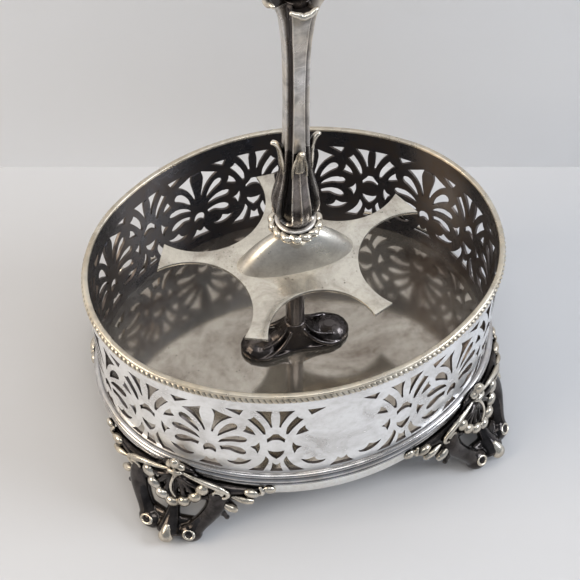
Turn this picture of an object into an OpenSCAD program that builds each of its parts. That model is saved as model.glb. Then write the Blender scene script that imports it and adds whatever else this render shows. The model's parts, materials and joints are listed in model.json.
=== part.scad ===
// Oval five-bottle cruet frame: pierced gallery on four cast feet, a fixed pillar with a
// five-bottle plate, and a carrying handle that unscrews. Millimetres, +Z up.
// The origin is on the floor, in the middle of the oval; the front is towards -Y.

/* [Gallery oval] */
// Half length of the oval inside the gallery, along X
oval_a = 88; // [80:1:96]
// Half width of the oval inside the gallery, along Y
oval_b = 70.2; // [66:0.2:74]
// Half angle of the two tight end arcs
arc_half = 50; // [46:1:54]
// Wall thickness of the gallery
wall = 1.2; // [0.8:0.1:1.6]

/* [Heights above the floor] */
// Lower edge of the skirt
skirt_z = 24.6; // [22:0.2:27]
// Lower edge of the reeded moulding
moulding_z = 31.7; // [30:0.1:33]
// Upper face of the tray floor
floor_z = 35; // [34:0.1:36]
// Upper edge of the reeded moulding
moulding_top = 39.6; // [38:0.1:41]
// Top of the rim
rim_z = 98.5; // [96:0.5:101]
// Upper face of the bottle plate
plate_z = 96; // [94:0.2:97]

/* [Rim and moulding] */
// Thickness of the flat binding on the rim
binding_h = 1.2; // [0.8:0.1:1.6]
// Width of the flat binding across the wall
binding_w = 2.3; // [1.8:0.1:3]
// Height of the rope bead under the binding
rope_h = 4.6; // [3.6:0.1:5.4]
// How far the rope bead stands out from the wall
rope_out = 1.6; // [1.2:0.1:2]
// Number of reeds on the lower moulding
reed_count = 3; // [2:1:3]
// Reed radius
reed_r = 1.24; // [1:0.02:1.26]

/* [Pierced pattern] */
// Pattern repeats around the oval
repeats = 9; // [9:1:9]
// Height of the palmette hubs
hub_z = 62.6; // [62:0.1:63]

/* [Feet] */
// Direction of the feet, seen from the centre of an end arc
foot_angle = 52.5; // [48:0.5:56]
// Distance from that centre to the face of the foot's bow
bow_reach = 66.3; // [65:0.1:68]
// Distance from that centre to the middle toe
toe_reach = 80.4; // [78:0.2:82]
// Sideways distance of the outer toes
toe_side = 8.2; // [7:0.2:9.5]
// Radius of the middle toe
toe_r = 4.2; // [3.6:0.1:4.6]
// Radius of the outer toes
side_toe_r = 3.4; // [3:0.1:3.8]
// Radius of the two openings between the toes
window_r = 2.6; // [2:0.1:3]

/* [Pillar and screw] */
// Diameter of the pillar rod
rod_d = 8.4; // [7.6:0.2:9]
// Diameter of the threaded ends, a quarter inch
thread_d = 6.35; // [6:0.05:6.5]
// Thread pitch, twenty turns to the inch
pitch = 1.27; // [1:0.01:1.5]
// Turns of thread that hold the handle
turns = 8; // [6:1:9]
// Radial play of the running fits
play = 0.05; // [0.02:0.01:0.09]
// Half length of the pillar foot along X
pedestal_a = 25.5; // [22:0.5:27]
// Width of the pillar foot's lobes
lobe_w = 17; // [15:0.5:19]
// Height of the pillar foot
pedestal_h = 16; // [14:0.5:18]

/* [Bottle plate] */
// Sheet thickness
plate_t = 1.5; // [1.2:0.1:2]
// Radius of the front bottle cut-out
front_r = 23; // [22:0.5:24]
// Distance of the front cut-out from the pillar
front_y = 43; // [42:0.5:44]
// Radius of the two side cut-outs
side_r = 26.4; // [25.4:0.2:27]
// Radius of the two back cut-outs
back_r = 28; // [27:0.5:28.5]
// Half length of the raised boss
boss_a = 25.5; // [22:0.5:26]
// Half width of the raised boss
boss_b = 9.7; // [9:0.1:10.5]
// Height of the raised boss over the plate
boss_h = 15; // [13:0.5:16]

/* [Handle] */
// Radius of the beaded collar
collar_r = 11.4; // [10.6:0.2:12]
// Number of beads round the collar
collar_beads = 16; // [12:1:20]
// Half width of the stem
stem_r = 5.5; // [5:0.1:6]
// Greatest radius of the leafy bulb
bulb_r = 9.7; // [9:0.1:10.2]
// Overall height of the cruet frame
total_h = 292; // [286:1:296]
// Half width of the loop grip
loop_w = 24; // [20:1:26]
// Radius of the loop grip's bar
bar_r = 3.4; // [3:0.1:3.8]

/* [Hidden] */
$fn = 64;

// Four-arc oval: tight end arcs of radius end_r round (end_x, 0), and long side arcs of
// radius side_arc_r round (0, side_y) on the far side of the oval.
arc_cut = 1 / cos(arc_half);
end_x = (oval_a - oval_b) / (1 + tan(arc_half) - arc_cut);
end_r = oval_a - end_x;
side_y = end_x * tan(arc_half);
side_arc_r = oval_b + side_y;
side_half = 90 - arc_half;
end_len = end_r * arc_half * PI / 180;
side_len = side_arc_r * side_half * PI / 180;
perimeter = 4 * (end_len + side_len);
repeat = perimeter / repeats;

floor_t = 1.2;
binding_in = 0.3;
moulding_out = 1.5;
skirt_t = 1.2;
// Extra reach of the cutting shapes, and the clearance of parts that only touch
over = 1;
gap = 0.05;
// Flat ground off under each toe
pad_cut = 0.7;
// Bore of the parts that the screw holds, and of those that it passes freely
bore_d = thread_d + 2 * play;
free_d = thread_d + 0.4;
// Centres of the right-hand bottle cut-outs
side_bite = [50.3, -16.7];
back_bite = [31, 40];
pillar_top = plate_z - plate_t;
collar_z = 116;
collar_h = 3.4;
ring_z = collar_z + collar_h;
ring_h = 1.9;
bulb_z = ring_z + ring_h;
stem_z = 164;
crown_z = 208;
grip_z = 238;
bush_z = 132;
bush_h = 22;
bush_r = 4.6;
lift = turns * pitch;
washer_z = floor_z - floor_t;
washer_t = 1.2;
washer_r = 8;
nut_h = 4.4;
nut_r = 6.4;
silver = [0.78, 0.76, 0.70];
dark_silver = [0.22, 0.21, 0.22];
cream_silver = [0.85, 0.80, 0.66];

// A solid oval plate standing d outside the gallery's inner face
module oval_plate(d, h) {
  for (side = [0, 180]) rotate(side) {
    translate([end_x, 0]) rotate(-arc_half) rotate_extrude(angle = 2 * arc_half, $fn = 96)
      square([end_r + d, h]);
    translate([0, -side_y]) rotate(arc_half) rotate_extrude(angle = 2 * side_half, $fn = 96)
      square([side_arc_r + d, h]);
  }
}

// A flat profile carried round the oval; x = 0 is the gallery's inner face
module round_oval() {
  for (side = [0, 180]) rotate(side) {
    translate([end_x, 0]) rotate(-arc_half) rotate_extrude(angle = 2 * arc_half, $fn = 96)
      translate([end_r, 0]) children();
    translate([0, -side_y]) rotate(arc_half) rotate_extrude(angle = 2 * side_half, $fn = 96)
      translate([side_arc_r, 0]) children();
  }
}

// Places a shape on the wall, s millimetres round the oval from the middle of the front,
// with x along the wall, y up and z outwards
module on_wall(s, z) {
  half = perimeter / 2;
  u = s > half ? s - perimeter : s;
  dist = abs(u);
  mirror([u < 0 ? 1 : 0, 0, 0]) {
    if (dist < side_len) {
      a = dist / side_arc_r * 180 / PI;
      translate([side_arc_r * sin(a), side_y - side_arc_r * cos(a), z])
        rotate([90, 0, a]) children();
    } else if (dist < side_len + 2 * end_len) {
      a = side_half + (dist - side_len) / end_r * 180 / PI;
      translate([end_x + end_r * sin(a), -end_r * cos(a), z])
        rotate([90, 0, a]) children();
    } else {
      a = 180 - (half - dist) / side_arc_r * 180 / PI;
      translate([side_arc_r * sin(a), -side_y - side_arc_r * cos(a), z])
        rotate([90, 0, a]) children();
    }
  }
}

// ---- pierced pattern, drawn flat: x along the wall, y up from the hub ----

// The frame of a palmette, which the plain cartouche at the front shares
module surround_holes() {
  for (m = [0, 1]) mirror([m, 0]) {
    polygon([[17.6, -12.6], [14.8, -13.2], [11.8, -12], [9, -15.5], [7.1, -15.4], [10.6, -17.7],
      [16.1, -15.1]]);
    polygon([[15.9, 13.6], [14.4, 9], [19.6, 6.7]]);
    polygon([[20.9, 1.3], [17.1, -2.5], [20.1, -7.7]]);
    polygon([[7.5, 24.8], [15, 24.8], [13.4, 20.8]]);
  }
  polygon([[0, -17.4], [1.9, -15.6], [5.3, -21.5], [-5.3, -21.5], [-1.9, -15.6]]);
}

// The petals of a palmette, radiating from its hub
module petal_holes() {
  for (m = [0, 1]) mirror([m, 0]) {
    polygon([[2.3, 22.8], [3.1, 18.8], [2.4, 12.6], [1.3, 5.2], [1.9, 5.2], [3.9, 10.9],
      [10.6, 18.6]]);
    polygon([[3.9, 2.6], [8.8, 13.4], [12.3, 12.4], [12, 10]]);
    polygon([[3.7, -2.2], [10.1, 4.4], [15.3, 4.2], [15.3, 0.8], [9.7, 0]]);
    polygon([[4.3, -4.7], [10.1, -3.3], [15.3, -6.9], [13.7, -9.2], [5.2, -7.6]]);
  }
  polygon([[-1.8, -5.4], [1.8, -5.4], [2.8, -8.4], [2.3, -10.9], [0, -9.5], [-2.3, -10.9],
    [-2.8, -8.4]]);
}

// The small lyre between two palmettes
module lyre_holes() {
  for (m = [0, 1]) mirror([m, 0]) {
    polygon([[1.3, 24.8], [1.7, 16.7], [1.4, 13], [2.2, 12.9], [3.9, 18.4], [7.8, 24.8]]);
    polygon([[8.6, 20.6], [11.2, 18.2], [4.9, 7.4], [4.1, 7.5], [4.4, 12.1]]);
    polygon([[4.3, -9.6], [3.1, -12.6], [5.6, -21.5], [11.8, -21.5], [5.2, -13]]);
  }
  polygon([[-1.1, 7.9], [1.1, 7.9], [3.8, 3.9], [3.4, 1.3], [0, 3.3], [-3.4, 1.3], [-3.8, 3.9]]);
  polygon([[0, -5.8], [3.3, -4.9], [3, -7.1], [0, -11.7], [-3, -7.1], [-3.3, -4.9]]);
  polygon([[0, -16.2], [1.6, -14.5], [2.6, -21.5], [-2.6, -21.5], [-1.6, -14.5]]);
}

module wall_holes() {
  depth = 4 * wall;
  for (k = [0 : repeats - 1]) on_wall(k * repeat, hub_z)
    translate([0, 0, -depth / 4]) linear_extrude(depth) surround_holes();
  for (k = [1 : repeats - 1]) on_wall(k * repeat, hub_z)
    translate([0, 0, -depth / 4]) linear_extrude(depth) petal_holes();
  for (k = [0 : repeats - 1]) on_wall((k + 0.5) * repeat, hub_z)
    translate([0, 0, -depth / 4]) linear_extrude(depth) lyre_holes();
}

// ---- tray and gallery ----

module tray_floor() {
  color(silver) translate([0, 0, floor_z - floor_t]) difference() {
    oval_plate(wall, floor_t);
    translate([0, 0, -over]) cylinder(h = floor_t + 2 * over, d = bore_d);
  }
}

module gallery() {
  h = rim_z - binding_h - floor_z;
  color(dark_silver) difference() {
    translate([0, 0, floor_z]) oval_plate(wall, h);
    translate([0, 0, floor_z - over]) oval_plate(0, h + 2 * over);
    wall_holes();
  }
}

module rim_binding() {
  color(cream_silver) translate([0, 0, rim_z - binding_h]) difference() {
    oval_plate(binding_w - binding_in, binding_h);
    translate([0, 0, -over]) oval_plate(-binding_in, binding_h + 2 * over);
  }
}

module rim_rope() {
  bead_r = (pow(rope_h / 2, 2) + pow(rope_out, 2)) / (2 * rope_out);
  low_z = rim_z - binding_h - rope_h;
  color(cream_silver) round_oval() intersection() {
    translate([wall + rope_out - bead_r, low_z + rope_h / 2]) circle(bead_r);
    translate([wall, low_z]) square([rope_out + over, rope_h]);
  }
}

module lower_moulding() {
  h = moulding_top - moulding_z;
  reed_pitch = h / reed_count;
  face = wall + moulding_out;
  color(cream_silver) round_oval() polygon(concat(
    [[wall, moulding_z], [face, moulding_z]],
    [for (i = [0 : reed_count - 1]) for (t = [-80 : 32 : 80])
      [face + reed_r * cos(t), moulding_z + (i + 0.5) * reed_pitch + reed_r * sin(t)]],
    [[face, moulding_top], [wall, moulding_top]]));
}

module skirt_band() {
  h = moulding_z - skirt_z;
  color(silver) translate([0, 0, skirt_z]) difference() {
    oval_plate(wall + skirt_t, h);
    translate([0, 0, -over]) oval_plate(wall, h + 2 * over);
  }
}

// ---- feet ----

// Everything that a foot must stay clear of: wall, moulding and skirt
module foot_relief() {
  below = 5;
  above = 12;
  translate([0, 0, skirt_z - below]) oval_plate(wall + skirt_t + gap,
    moulding_z - skirt_z + below + gap);
  translate([0, 0, moulding_z]) oval_plate(wall + moulding_out + reed_r + gap,
    moulding_top - moulding_z + gap);
  translate([0, 0, moulding_top]) oval_plate(wall + gap, above);
}

// A curled toe: a ball with a flat pad, under a short leg that leans in to the skirt
module toe(side, reach, r) {
  lean = reach - bow_reach - 1.5;
  rise = 27;
  splay = 0.4 * side;
  z = r - pad_cut;
  difference() {
    translate([reach, side, z]) sphere(r, $fn = 32);
    translate([reach - 2 * r, side - 2 * r, -2 * r]) cube([4 * r, 4 * r, 2 * r]);
  }
  translate([reach, side, z]) rotate([splay, -atan(lean / rise), 0])
    cylinder(h = norm([lean, rise]), r1 = r * 0.75, r2 = r * 0.95, $fn = 24);
}

// The scrolled apron that spreads along the skirt above the toes
module foot_apron(depth) {
  linear_extrude(depth) difference() {
    polygon([[-33, 17], [-24, 21.5], [-9, 22.5], [0, 23.4], [9, 22.5], [24, 21.5], [33, 17],
      [30, 13.5], [17, 13], [10.5, 3], [0, 0], [-10.5, 3], [-17, 13], [-30, 13.5]]);
    for (m = [-1, 1]) translate([m * toe_side, 11]) circle(window_r, $fn = 24);
  }
}

module foot() {
  apron_z = 23;
  apron_t = 23.4;
  shell_r = 7.5;
  shell_z = 30;
  bow_r = 4.6;
  bow_z = 40.5;
  translate([end_x, 0]) rotate(foot_angle) difference() {
    union() {
      intersection() {
        translate([bow_reach - apron_t + 1, 0, apron_z]) rotate([90, 0, 90]) foot_apron(apron_t);
        translate([0, 0, apron_z]) cylinder(h = apron_t, r = bow_reach + 1.5, $fn = 96);
      }
      translate([bow_reach - 1, 0, bow_z]) sphere(bow_r, $fn = 32);
      translate([bow_reach + 2.2, 0, shell_z]) sphere(shell_r, $fn = 32);
      toe(0, toe_reach, toe_r);
      for (m = [-1, 1]) toe(m * toe_side, toe_reach - 3.5, side_toe_r);
    }
    rotate(-foot_angle) translate([-end_x, 0]) foot_relief();
  }
}

module foot_back_right() {
  color(dark_silver) foot();
}

module foot_back_left() {
  color(dark_silver) mirror([1, 0, 0]) foot();
}

module foot_front_right() {
  color(dark_silver) mirror([0, 1, 0]) foot();
}

module foot_front_left() {
  color(dark_silver) rotate(180) foot();
}

// ---- pillar ----

// The pillar foot: two spoon-shaped lobes that sweep up to a neck
module pedestal() {
  sweep_r = 13.6;
  sweep_x = 20.3;
  sweep_z = 18.4;
  saddle_r = 18.4;
  saddle_y = 23.9;
  end_h = 5.4;
  end_w = 6;
  lobe_x = pedestal_a - lobe_w / 2;
  color(dark_silver) translate([0, 0, floor_z]) difference() {
    intersection() {
      linear_extrude(pedestal_h) difference() {
        union() {
          square([2 * lobe_x, lobe_w], center = true);
          for (m = [-1, 1]) translate([m * lobe_x, 0]) circle(lobe_w / 2);
        }
        for (m = [-1, 1]) translate([0, m * saddle_y]) circle(saddle_r);
      }
      translate([0, lobe_w, 0]) rotate([90, 0, 0]) linear_extrude(2 * lobe_w) difference() {
        translate([-pedestal_a, 0]) square([2 * pedestal_a, pedestal_h]);
        for (m = [-1, 1]) translate([m * sweep_x, sweep_z]) circle(sweep_r);
        for (m = [-1, 1]) translate([m * pedestal_a - end_w, end_h]) square([2 * end_w, pedestal_h]);
      }
    }
    translate([0, 0, -over]) cylinder(h = pedestal_h + 2 * over, d = bore_d);
  }
}

// The rod: threaded below for the nut, full size between, threaded above for the handle
module pillar_rod() {
  neck_z = floor_z + pedestal_h;
  bottom_z = washer_z - washer_t - nut_h - 1.8;
  color(dark_silver) {
    translate([0, 0, bottom_z]) cylinder(h = neck_z - bottom_z, d = thread_d);
    translate([0, 0, neck_z]) cylinder(h = pillar_top - neck_z, d = rod_d);
    translate([0, 0, pillar_top]) cylinder(h = bush_z + lift - pillar_top, d = thread_d);
  }
}

module rod_washer() {
  color(silver) translate([0, 0, washer_z - washer_t]) difference() {
    cylinder(h = washer_t, r = washer_r);
    translate([0, 0, -over]) cylinder(h = washer_t + 2 * over, d = free_d);
  }
}

module rod_nut() {
  color(silver) translate([0, 0, washer_z - washer_t - nut_h]) difference() {
    cylinder(h = nut_h, r = nut_r, $fn = 6);
    translate([0, 0, -over]) cylinder(h = nut_h + 2 * over, d = bore_d);
  }
}

// ---- bottle plate ----

module plate_outline() {
  difference() {
    polygon([[4.4, 47.5], [-4.4, 47.5], [-53.3, 20], [-58, 9.5], [-31, -36], [-22.9, -39],
      [22.9, -39], [31, -36], [58, 9.5], [53.3, 20]]);
    translate([0, -front_y]) circle(front_r, $fn = 96);
    for (m = [-1, 1]) {
      translate([m * side_bite.x, side_bite.y]) circle(side_r, $fn = 96);
      translate([m * back_bite.x, back_bite.y]) circle(back_r, $fn = 96);
    }
  }
}

module bottle_plate() {
  color(silver) translate([0, 0, plate_z - plate_t]) difference() {
    linear_extrude(plate_t) plate_outline();
    translate([0, 0, -over]) cylinder(h = plate_t + 2 * over, d = bore_d);
  }
}

// The raised oval boss with the short neck that carries the collar
module plate_boss() {
  neck_r = 7.6;
  plan_r = (pow(boss_a, 2) + pow(boss_b, 2)) / (2 * boss_b);
  ridge_r = (pow(boss_a, 2) + pow(boss_h, 2)) / (2 * boss_h);
  crown_r = 11;
  color(silver) translate([0, 0, plate_z]) difference() {
    union() {
      intersection() {
        linear_extrude(boss_h) intersection_for(m = [-1, 1])
          translate([0, m * (plan_r - boss_b)]) circle(plan_r, $fn = 128);
        translate([0, boss_b, boss_h - ridge_r]) rotate([90, 0, 0])
          cylinder(h = 2 * boss_b, r = ridge_r, $fn = 128);
        translate([-boss_a, 0, boss_h - crown_r]) rotate([0, 90, 0])
          cylinder(h = 2 * boss_a, r = crown_r, $fn = 96);
      }
      cylinder(h = collar_z - plate_z - 2 * gap, r = neck_r);
    }
    translate([0, 0, -over]) cylinder(h = collar_z, d = bore_d);
  }
}

// ---- handle ----

module handle_collar() {
  bead_r = 1.7;
  color(dark_silver) translate([0, 0, collar_z]) difference() {
    union() {
      cylinder(h = collar_h, r = collar_r - bead_r + 0.1);
      for (i = [0 : collar_beads - 1]) rotate(i * 360 / collar_beads)
        translate([collar_r - bead_r, 0, collar_h / 2]) sphere(bead_r - 0.01, $fn = 20);
    }
    translate([0, 0, -over]) cylinder(h = collar_h + 2 * over, d = bore_d);
  }
}

module handle_ring() {
  edge_r = 7.7;
  color(dark_silver) translate([0, 0, ring_z]) difference() {
    union() {
      cylinder(h = ring_h, r = edge_r + 0.2);
      translate([0, 0, ring_h / 2]) rotate_extrude() translate([edge_r, 0]) circle(0.9, $fn = 24);
    }
    translate([0, 0, -over]) cylinder(h = ring_h + 2 * over, d = free_d);
  }
}

// Four leaf tips that curl out from radius r, leaning by the given angle
module leaf_tips(r, z, lean, h, w) {
  for (a = [0 : 90 : 270]) rotate(a) translate([r, 0, z]) rotate([0, lean, 0])
    cylinder(h = h, r1 = w, r2 = w * 0.55, $fn = 20);
}

// Four hollow flutes on the diagonals, at distance d from the axis
module flutes(d, r, h) {
  for (a = [45 : 90 : 315]) rotate(a) translate([d, 0, 0]) cylinder(h = h, r = r, $fn = 32);
}

// The leafy bulb; its four leaves end in tips that curl out over the stem
module handle_bulb() {
  top = stem_z - bulb_z;
  color(dark_silver) translate([0, 0, bulb_z]) difference() {
    union() {
      rotate_extrude($fn = 64) polygon([[0, 0], [7.4, 0], [8.3, 3], [bulb_r, 8.5],
        [bulb_r, 12.5], [8.4, 18], [6.8, 25], [6.2, 32], [6.6, 37], [7.6, top], [0, top]]);
      leaf_tips(6.2, top - 1, 35, 5, 2.4);
    }
    translate([0, 0, 4]) flutes(10.6, 3.4, top + 6);
    translate([0, 0, -over]) cylinder(h = bush_z - bulb_z + over, d = free_d);
    translate([0, 0, bush_z - bulb_z]) cylinder(h = bush_h, r = bush_r);
    translate([0, 0, top]) cylinder(h = 9, r = stem_r * sqrt(2) + gap, $fn = 64);
  }
}

// A threaded brass bush held inside the bulb
module handle_bush() {
  color("goldenrod") translate([0, 0, bush_z]) difference() {
    cylinder(h = bush_h, r = bush_r);
    translate([0, 0, -over]) cylinder(h = bush_h + 2 * over, d = bore_d);
  }
}

module handle_stem() {
  color(dark_silver) translate([0, 0, stem_z]) difference() {
    linear_extrude(crown_z - stem_z) square(2 * stem_r, center = true);
    translate([0, 0, -over]) flutes(8.4, 3.6, crown_z - stem_z + 2 * over);
  }
}

// The flared crown: four leaf tips curling out under the grip
module handle_crown() {
  h = grip_z - crown_z;
  color(dark_silver) translate([0, 0, crown_z]) {
    difference() {
      rotate_extrude($fn = 64) polygon([[0, 0], [5.9, 0], [6.1, 6], [7.2, 13], [8.2, 19],
        [7, 24], [5, h], [0, h]]);
      translate([0, 0, -over]) flutes(9.2, 3.6, 16 + over);
    }
    leaf_tips(6.6, 19, 40, 7, 2.7);
  }
}

// The loop grip: a round bar bent to a long loop in the XZ plane, on a short round stub
module loop_grip() {
  stub_r = 3.2;
  rise = 0.6;
  bend_r = loop_w - bar_r;
  straight = total_h - grip_z - rise - 2 * loop_w;
  color(dark_silver) {
    translate([0, 0, grip_z]) cylinder(h = rise + bar_r, r = stub_r);
    translate([0, 0, total_h - loop_w]) rotate([90, 0, 0]) {
      rotate_extrude(angle = 180, $fn = 96) translate([bend_r, 0]) circle(bar_r, $fn = 32);
      translate([0, -straight, 0]) rotate(180) rotate_extrude(angle = 180, $fn = 96)
        translate([bend_r, 0]) circle(bar_r, $fn = 32);
      for (m = [-1, 1]) translate([m * bend_r, 0, 0]) rotate([90, 0, 0])
        cylinder(h = straight, r = bar_r, $fn = 32);
    }
  }
}

tray_floor();
gallery();
rim_binding();
rim_rope();
lower_moulding();
skirt_band();
foot_front_left();
foot_front_right();
foot_back_left();
foot_back_right();
pedestal();
pillar_rod();
rod_washer();
rod_nut();
bottle_plate();
plate_boss();
handle_collar();
handle_ring();
handle_bulb();
handle_stem();
handle_crown();
handle_bush();
loop_grip();
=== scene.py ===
"""Looks for the oval cruet frame. Lengths are in millimetres, in the part's own frame."""
import json
import math

import bmesh
import bpy
import numpy as np
from mathutils import Matrix, Vector


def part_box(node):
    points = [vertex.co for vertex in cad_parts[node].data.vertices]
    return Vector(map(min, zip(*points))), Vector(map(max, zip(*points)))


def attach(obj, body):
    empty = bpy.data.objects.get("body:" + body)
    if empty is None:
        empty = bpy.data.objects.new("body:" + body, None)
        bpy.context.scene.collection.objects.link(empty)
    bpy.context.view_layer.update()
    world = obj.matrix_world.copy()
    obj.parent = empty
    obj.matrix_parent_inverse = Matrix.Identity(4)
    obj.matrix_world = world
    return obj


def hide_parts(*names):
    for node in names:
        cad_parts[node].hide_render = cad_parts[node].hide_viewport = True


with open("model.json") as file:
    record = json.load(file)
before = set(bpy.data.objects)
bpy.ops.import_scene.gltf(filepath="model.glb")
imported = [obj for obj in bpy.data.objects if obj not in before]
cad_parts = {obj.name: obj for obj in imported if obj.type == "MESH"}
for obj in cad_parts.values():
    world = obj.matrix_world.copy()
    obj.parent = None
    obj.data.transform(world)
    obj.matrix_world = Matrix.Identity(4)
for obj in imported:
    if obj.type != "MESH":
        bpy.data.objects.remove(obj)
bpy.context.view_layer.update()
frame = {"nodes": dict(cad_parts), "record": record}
MM = 0.001

# ---------------------------------------------------------------- sizes from the frame


def low(node):
    """Lowest corner of a CAD node, in millimetres."""
    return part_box(node)[0] / MM


def high(node):
    """Highest corner of a CAD node, in millimetres."""
    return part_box(node)[1] / MM


def span(node):
    """Lowest and highest z of a CAD node, in millimetres."""
    return low(node).z, high(node).z


# The oval is four arcs: two flat ones at the front and back, and two tight ones at the ends.
WALL = 1.2
ARC_HALF = math.radians(50)
OVAL_A = high("gallery").x - WALL
OVAL_B = high("gallery").y - WALL
END_X = (OVAL_A - OVAL_B) / (1 + math.tan(ARC_HALF) - 1 / math.cos(ARC_HALF))
END_R = OVAL_A - END_X
SIDE_Y = END_X * math.tan(ARC_HALF)
SIDE_R = OVAL_B + SIDE_Y
SIDE_LEN = SIDE_R * (math.pi / 2 - ARC_HALF)
END_LEN = END_R * ARC_HALF
PERIMETER = 4 * (SIDE_LEN + END_LEN)
REPEATS = 9
REPEAT = PERIMETER / REPEATS

FLOOR_Z = high("tray_floor").z
WALL_TOP = high("gallery").z
RIM_Z = high("rim_binding").z
PLATE_Z = high("bottle_plate").z
HUB_Z = FLOOR_Z + 27.6  # height of the palmettes' hubs
FOOT_S = 69.0  # way round the oval from the front's middle to a front foot


def on_oval(s, d):
    """The point s mm round the oval from the front's middle, and d mm outside the inner face."""
    s = (np.asarray(s, float) + PERIMETER / 2) % PERIMETER - PERIMETER / 2
    side = np.where(s < 0, -1.0, 1.0)
    u = np.abs(s)
    front = u < SIDE_LEN
    back = u > SIDE_LEN + 2 * END_LEN
    end_angle = (u - SIDE_LEN) / END_R - ARC_HALF
    back_angle = math.pi / 2 - (PERIMETER / 2 - u) / SIDE_R
    angle = np.where(front, u / SIDE_R - math.pi / 2, np.where(back, back_angle, end_angle))
    radius = np.where(front | back, SIDE_R, END_R) + d
    centre_x = np.where(front | back, 0.0, END_X)
    centre_y = np.where(front, SIDE_Y, np.where(back, -SIDE_Y, 0.0))
    return side * (centre_x + radius * np.cos(angle)), centre_y + radius * np.sin(angle)


# ---------------------------------------------------------------- mesh helpers


def put(name, data):
    """A new object in the scene."""
    obj = bpy.data.objects.new(name, data)
    bpy.context.scene.collection.objects.link(obj)
    return obj


def add_mesh(name, points, faces, material, sharp=40):
    """A mesh object from points in millimetres, shaded smooth up to sharp degrees."""
    mesh = bpy.data.meshes.new(name)
    mesh.from_pydata([tuple(p) for p in np.asarray(points, float) * MM], [], faces)
    mesh.materials.append(material)
    mesh.validate()
    obj = put(name, mesh)
    fix_normals(obj)
    shade(obj, sharp)
    return obj


def mark(obj, name, values):
    """Stores how worn and highlit or how deep each point is, for the materials to read; wear comes with
    painted highlight, depth with painted shade.
    """
    layer = obj.data.attributes.new(name, "FLOAT", "POINT")
    layer.data.foreach_set("value", np.clip(np.asarray(values, float), 0, 1))


def shade(obj, sharp):
    obj.data.shade_smooth()
    obj.data.set_sharp_from_angle(angle=math.radians(sharp))


def fix_normals(obj):
    b = bmesh.new()
    b.from_mesh(obj.data)
    bmesh.ops.recalc_face_normals(b, faces=b.faces)
    b.to_mesh(obj.data)
    b.free()


def grid(rows, cols, closed=False, start=0):
    """Quads round a tube of rows rings with cols points each; a closed tube's last ring meets its first."""
    faces = []
    for i in range(rows if closed else rows - 1):
        for j in range(cols):
            a, b = i * cols, ((i + 1) % rows) * cols
            k = (j + 1) % cols
            faces.append((start + a + j, start + b + j, start + b + k, start + a + k))
    return faces


def fans(rows, cols):
    """Triangles that close the ends of such a tube to two more points, one for each end."""
    faces = []
    n = rows * cols
    for j in range(cols):
        k = (j + 1) % cols
        faces.append((n, k, j))
        faces.append((n + 1, n - cols + j, n - cols + k))
    return faces


def ribbon(first, second, count):
    """Quads between two rings of count points, which start at points first and second."""
    following = [(j + 1) % count for j in range(count)]
    return [(first + j, first + k, second + k, second + j) for j, k in enumerate(following)]


def spoke_angles(spokes):
    return [2 * math.pi * j / spokes for j in range(spokes)]


def smooth_curve(points, step):
    """Points along a smooth open curve through the given ones, about step apart."""
    pts = np.asarray(points, float)
    ext = np.vstack([2 * pts[0] - pts[1], pts, 2 * pts[-1] - pts[-2]])
    out = []
    for i in range(1, len(ext) - 2):
        p0, p1, p2, p3 = ext[i - 1:i + 3]
        n = max(1, int(round(np.linalg.norm((p2 - p1)[:3]) / step)))
        for t in np.arange(n) / n:
            out.append(0.5 * (2 * p1 + (p2 - p0) * t + (2 * p0 - 5 * p1 + 4 * p2 - p3) * t * t
                              + (3 * p1 - p0 - 3 * p2 + p3) * t ** 3))
    out.append(pts[-1])
    return np.array(out)


def tube(path, radii, sides, step=0.8, flat=1.0, flat_axis=None):
    """A closed round bar along a smooth path; flat squeezes it along flat_axis."""
    line = smooth_curve(np.column_stack([path, radii]), step)
    pos, rad = line[:, :3], line[:, 3]
    tangent = np.gradient(pos, axis=0)
    tangent /= np.linalg.norm(tangent, axis=1)[:, None]
    side = np.cross(tangent[0], [0.3, 0.5, 0.8])
    points, turn = [], np.linspace(0, 2 * math.pi, sides, endpoint=False)
    for p, r, t in zip(pos, rad, tangent):
        side = side - t * side.dot(t)
        side /= np.linalg.norm(side)
        other = np.cross(t, side)
        ring = np.outer(np.cos(turn), side) + np.outer(np.sin(turn), other)
        if flat_axis is not None:
            axis = np.asarray(flat_axis, float)
            ring -= np.outer(ring @ axis, axis) * (1 - flat)
        points.append(p + r * ring)
    points.append([pos[0] - tangent[0] * rad[0] / 2, pos[-1] + tangent[-1] * rad[-1] / 2])
    return np.vstack(points), grid(len(pos), sides) + fans(len(pos), sides)


def ball(centre, size, turn=0.0):
    """An ellipsoid with half sizes size; turn leans it sideways, in degrees."""
    rows, cols = 10, 16
    lat = np.linspace(-math.pi / 2, math.pi / 2, rows + 2)[1:-1]
    lon = np.linspace(0, 2 * math.pi, cols, endpoint=False)
    pts = [[math.cos(a) * math.cos(b), math.cos(a) * math.sin(b), math.sin(a)] for a in lat for b in lon]
    pts = np.array(pts + [[0, 0, -1], [0, 0, 1]]) * size
    c, s = math.cos(math.radians(turn)), math.sin(math.radians(turn))
    pts = np.column_stack([c * pts[:, 0] - s * pts[:, 2], pts[:, 1], s * pts[:, 0] + c * pts[:, 2]])
    return pts + np.asarray(centre, float), grid(rows, cols) + fans(rows, cols)


def joined(parts):
    """Several point-and-face shapes as one."""
    points, faces, start = [], [], 0
    for p, f in parts:
        points.append(np.asarray(p, float))
        faces += [tuple(i + start for i in face) for face in f]
        start += len(p)
    return np.vstack(points), faces


def apply_modifiers(obj):
    """Bakes an object's modifiers into its mesh."""
    dg = bpy.context.evaluated_depsgraph_get()
    mesh = bpy.data.meshes.new_from_object(obj.evaluated_get(dg))
    obj.modifiers.clear()
    obj.data = mesh


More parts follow.
